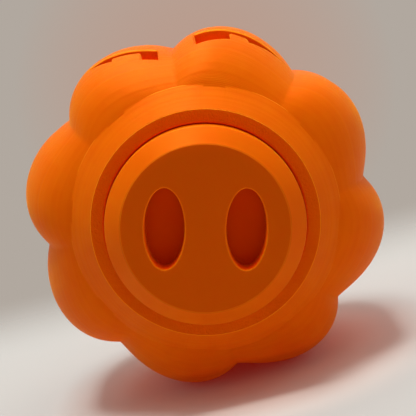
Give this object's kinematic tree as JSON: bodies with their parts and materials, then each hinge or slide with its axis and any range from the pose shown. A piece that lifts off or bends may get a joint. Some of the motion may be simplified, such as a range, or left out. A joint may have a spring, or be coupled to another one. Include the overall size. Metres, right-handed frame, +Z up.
{
  "type": "pumpkin treat dispenser",
  "caption": "Hollow lobed pumpkin toy that lies on its side: treats go in under a screw lid with finger wells and drop out through a carved grin.",
  "frame": {"origin": "on the floor under the middle of the object's box, as it lies on its back", "axes": "+X to the right and +Z up as seen from the lid's side; the stem's axis lies along Y, with the lid at -Y and the stem at +Y; the carved face looks up along +Z"},
  "size_m": [0.0954, 0.0896, 0.0954],
  "materials": {
    "orange_print": "layered print, satin",
    "seal": "moulded, matt"
  },
  "bodies": {
    "shell": {"pumpkin_shell": "orange_print"},
    "seal": {"lid_seal_ring": "seal"},
    "lid": {"twist_lid": "orange_print"}
  },
  "joints": [
    {"name": "lid_rise", "type": "slide", "parent": "shell", "child": "seal", "axis": [0, -1, 0], "range_m": [0, 0.0125]},
    {"name": "lid_turn", "type": "hinge", "parent": "seal", "child": "lid", "pos_m": [0, -0.0348, 0.04768], "axis": [0, -1, 0], "range_deg": [0, 300]}
  ],
  "couplings": [
    {"joint": "lid_rise", "follows": "lid_turn", "m_per_rad": 0.002387}
  ]
}
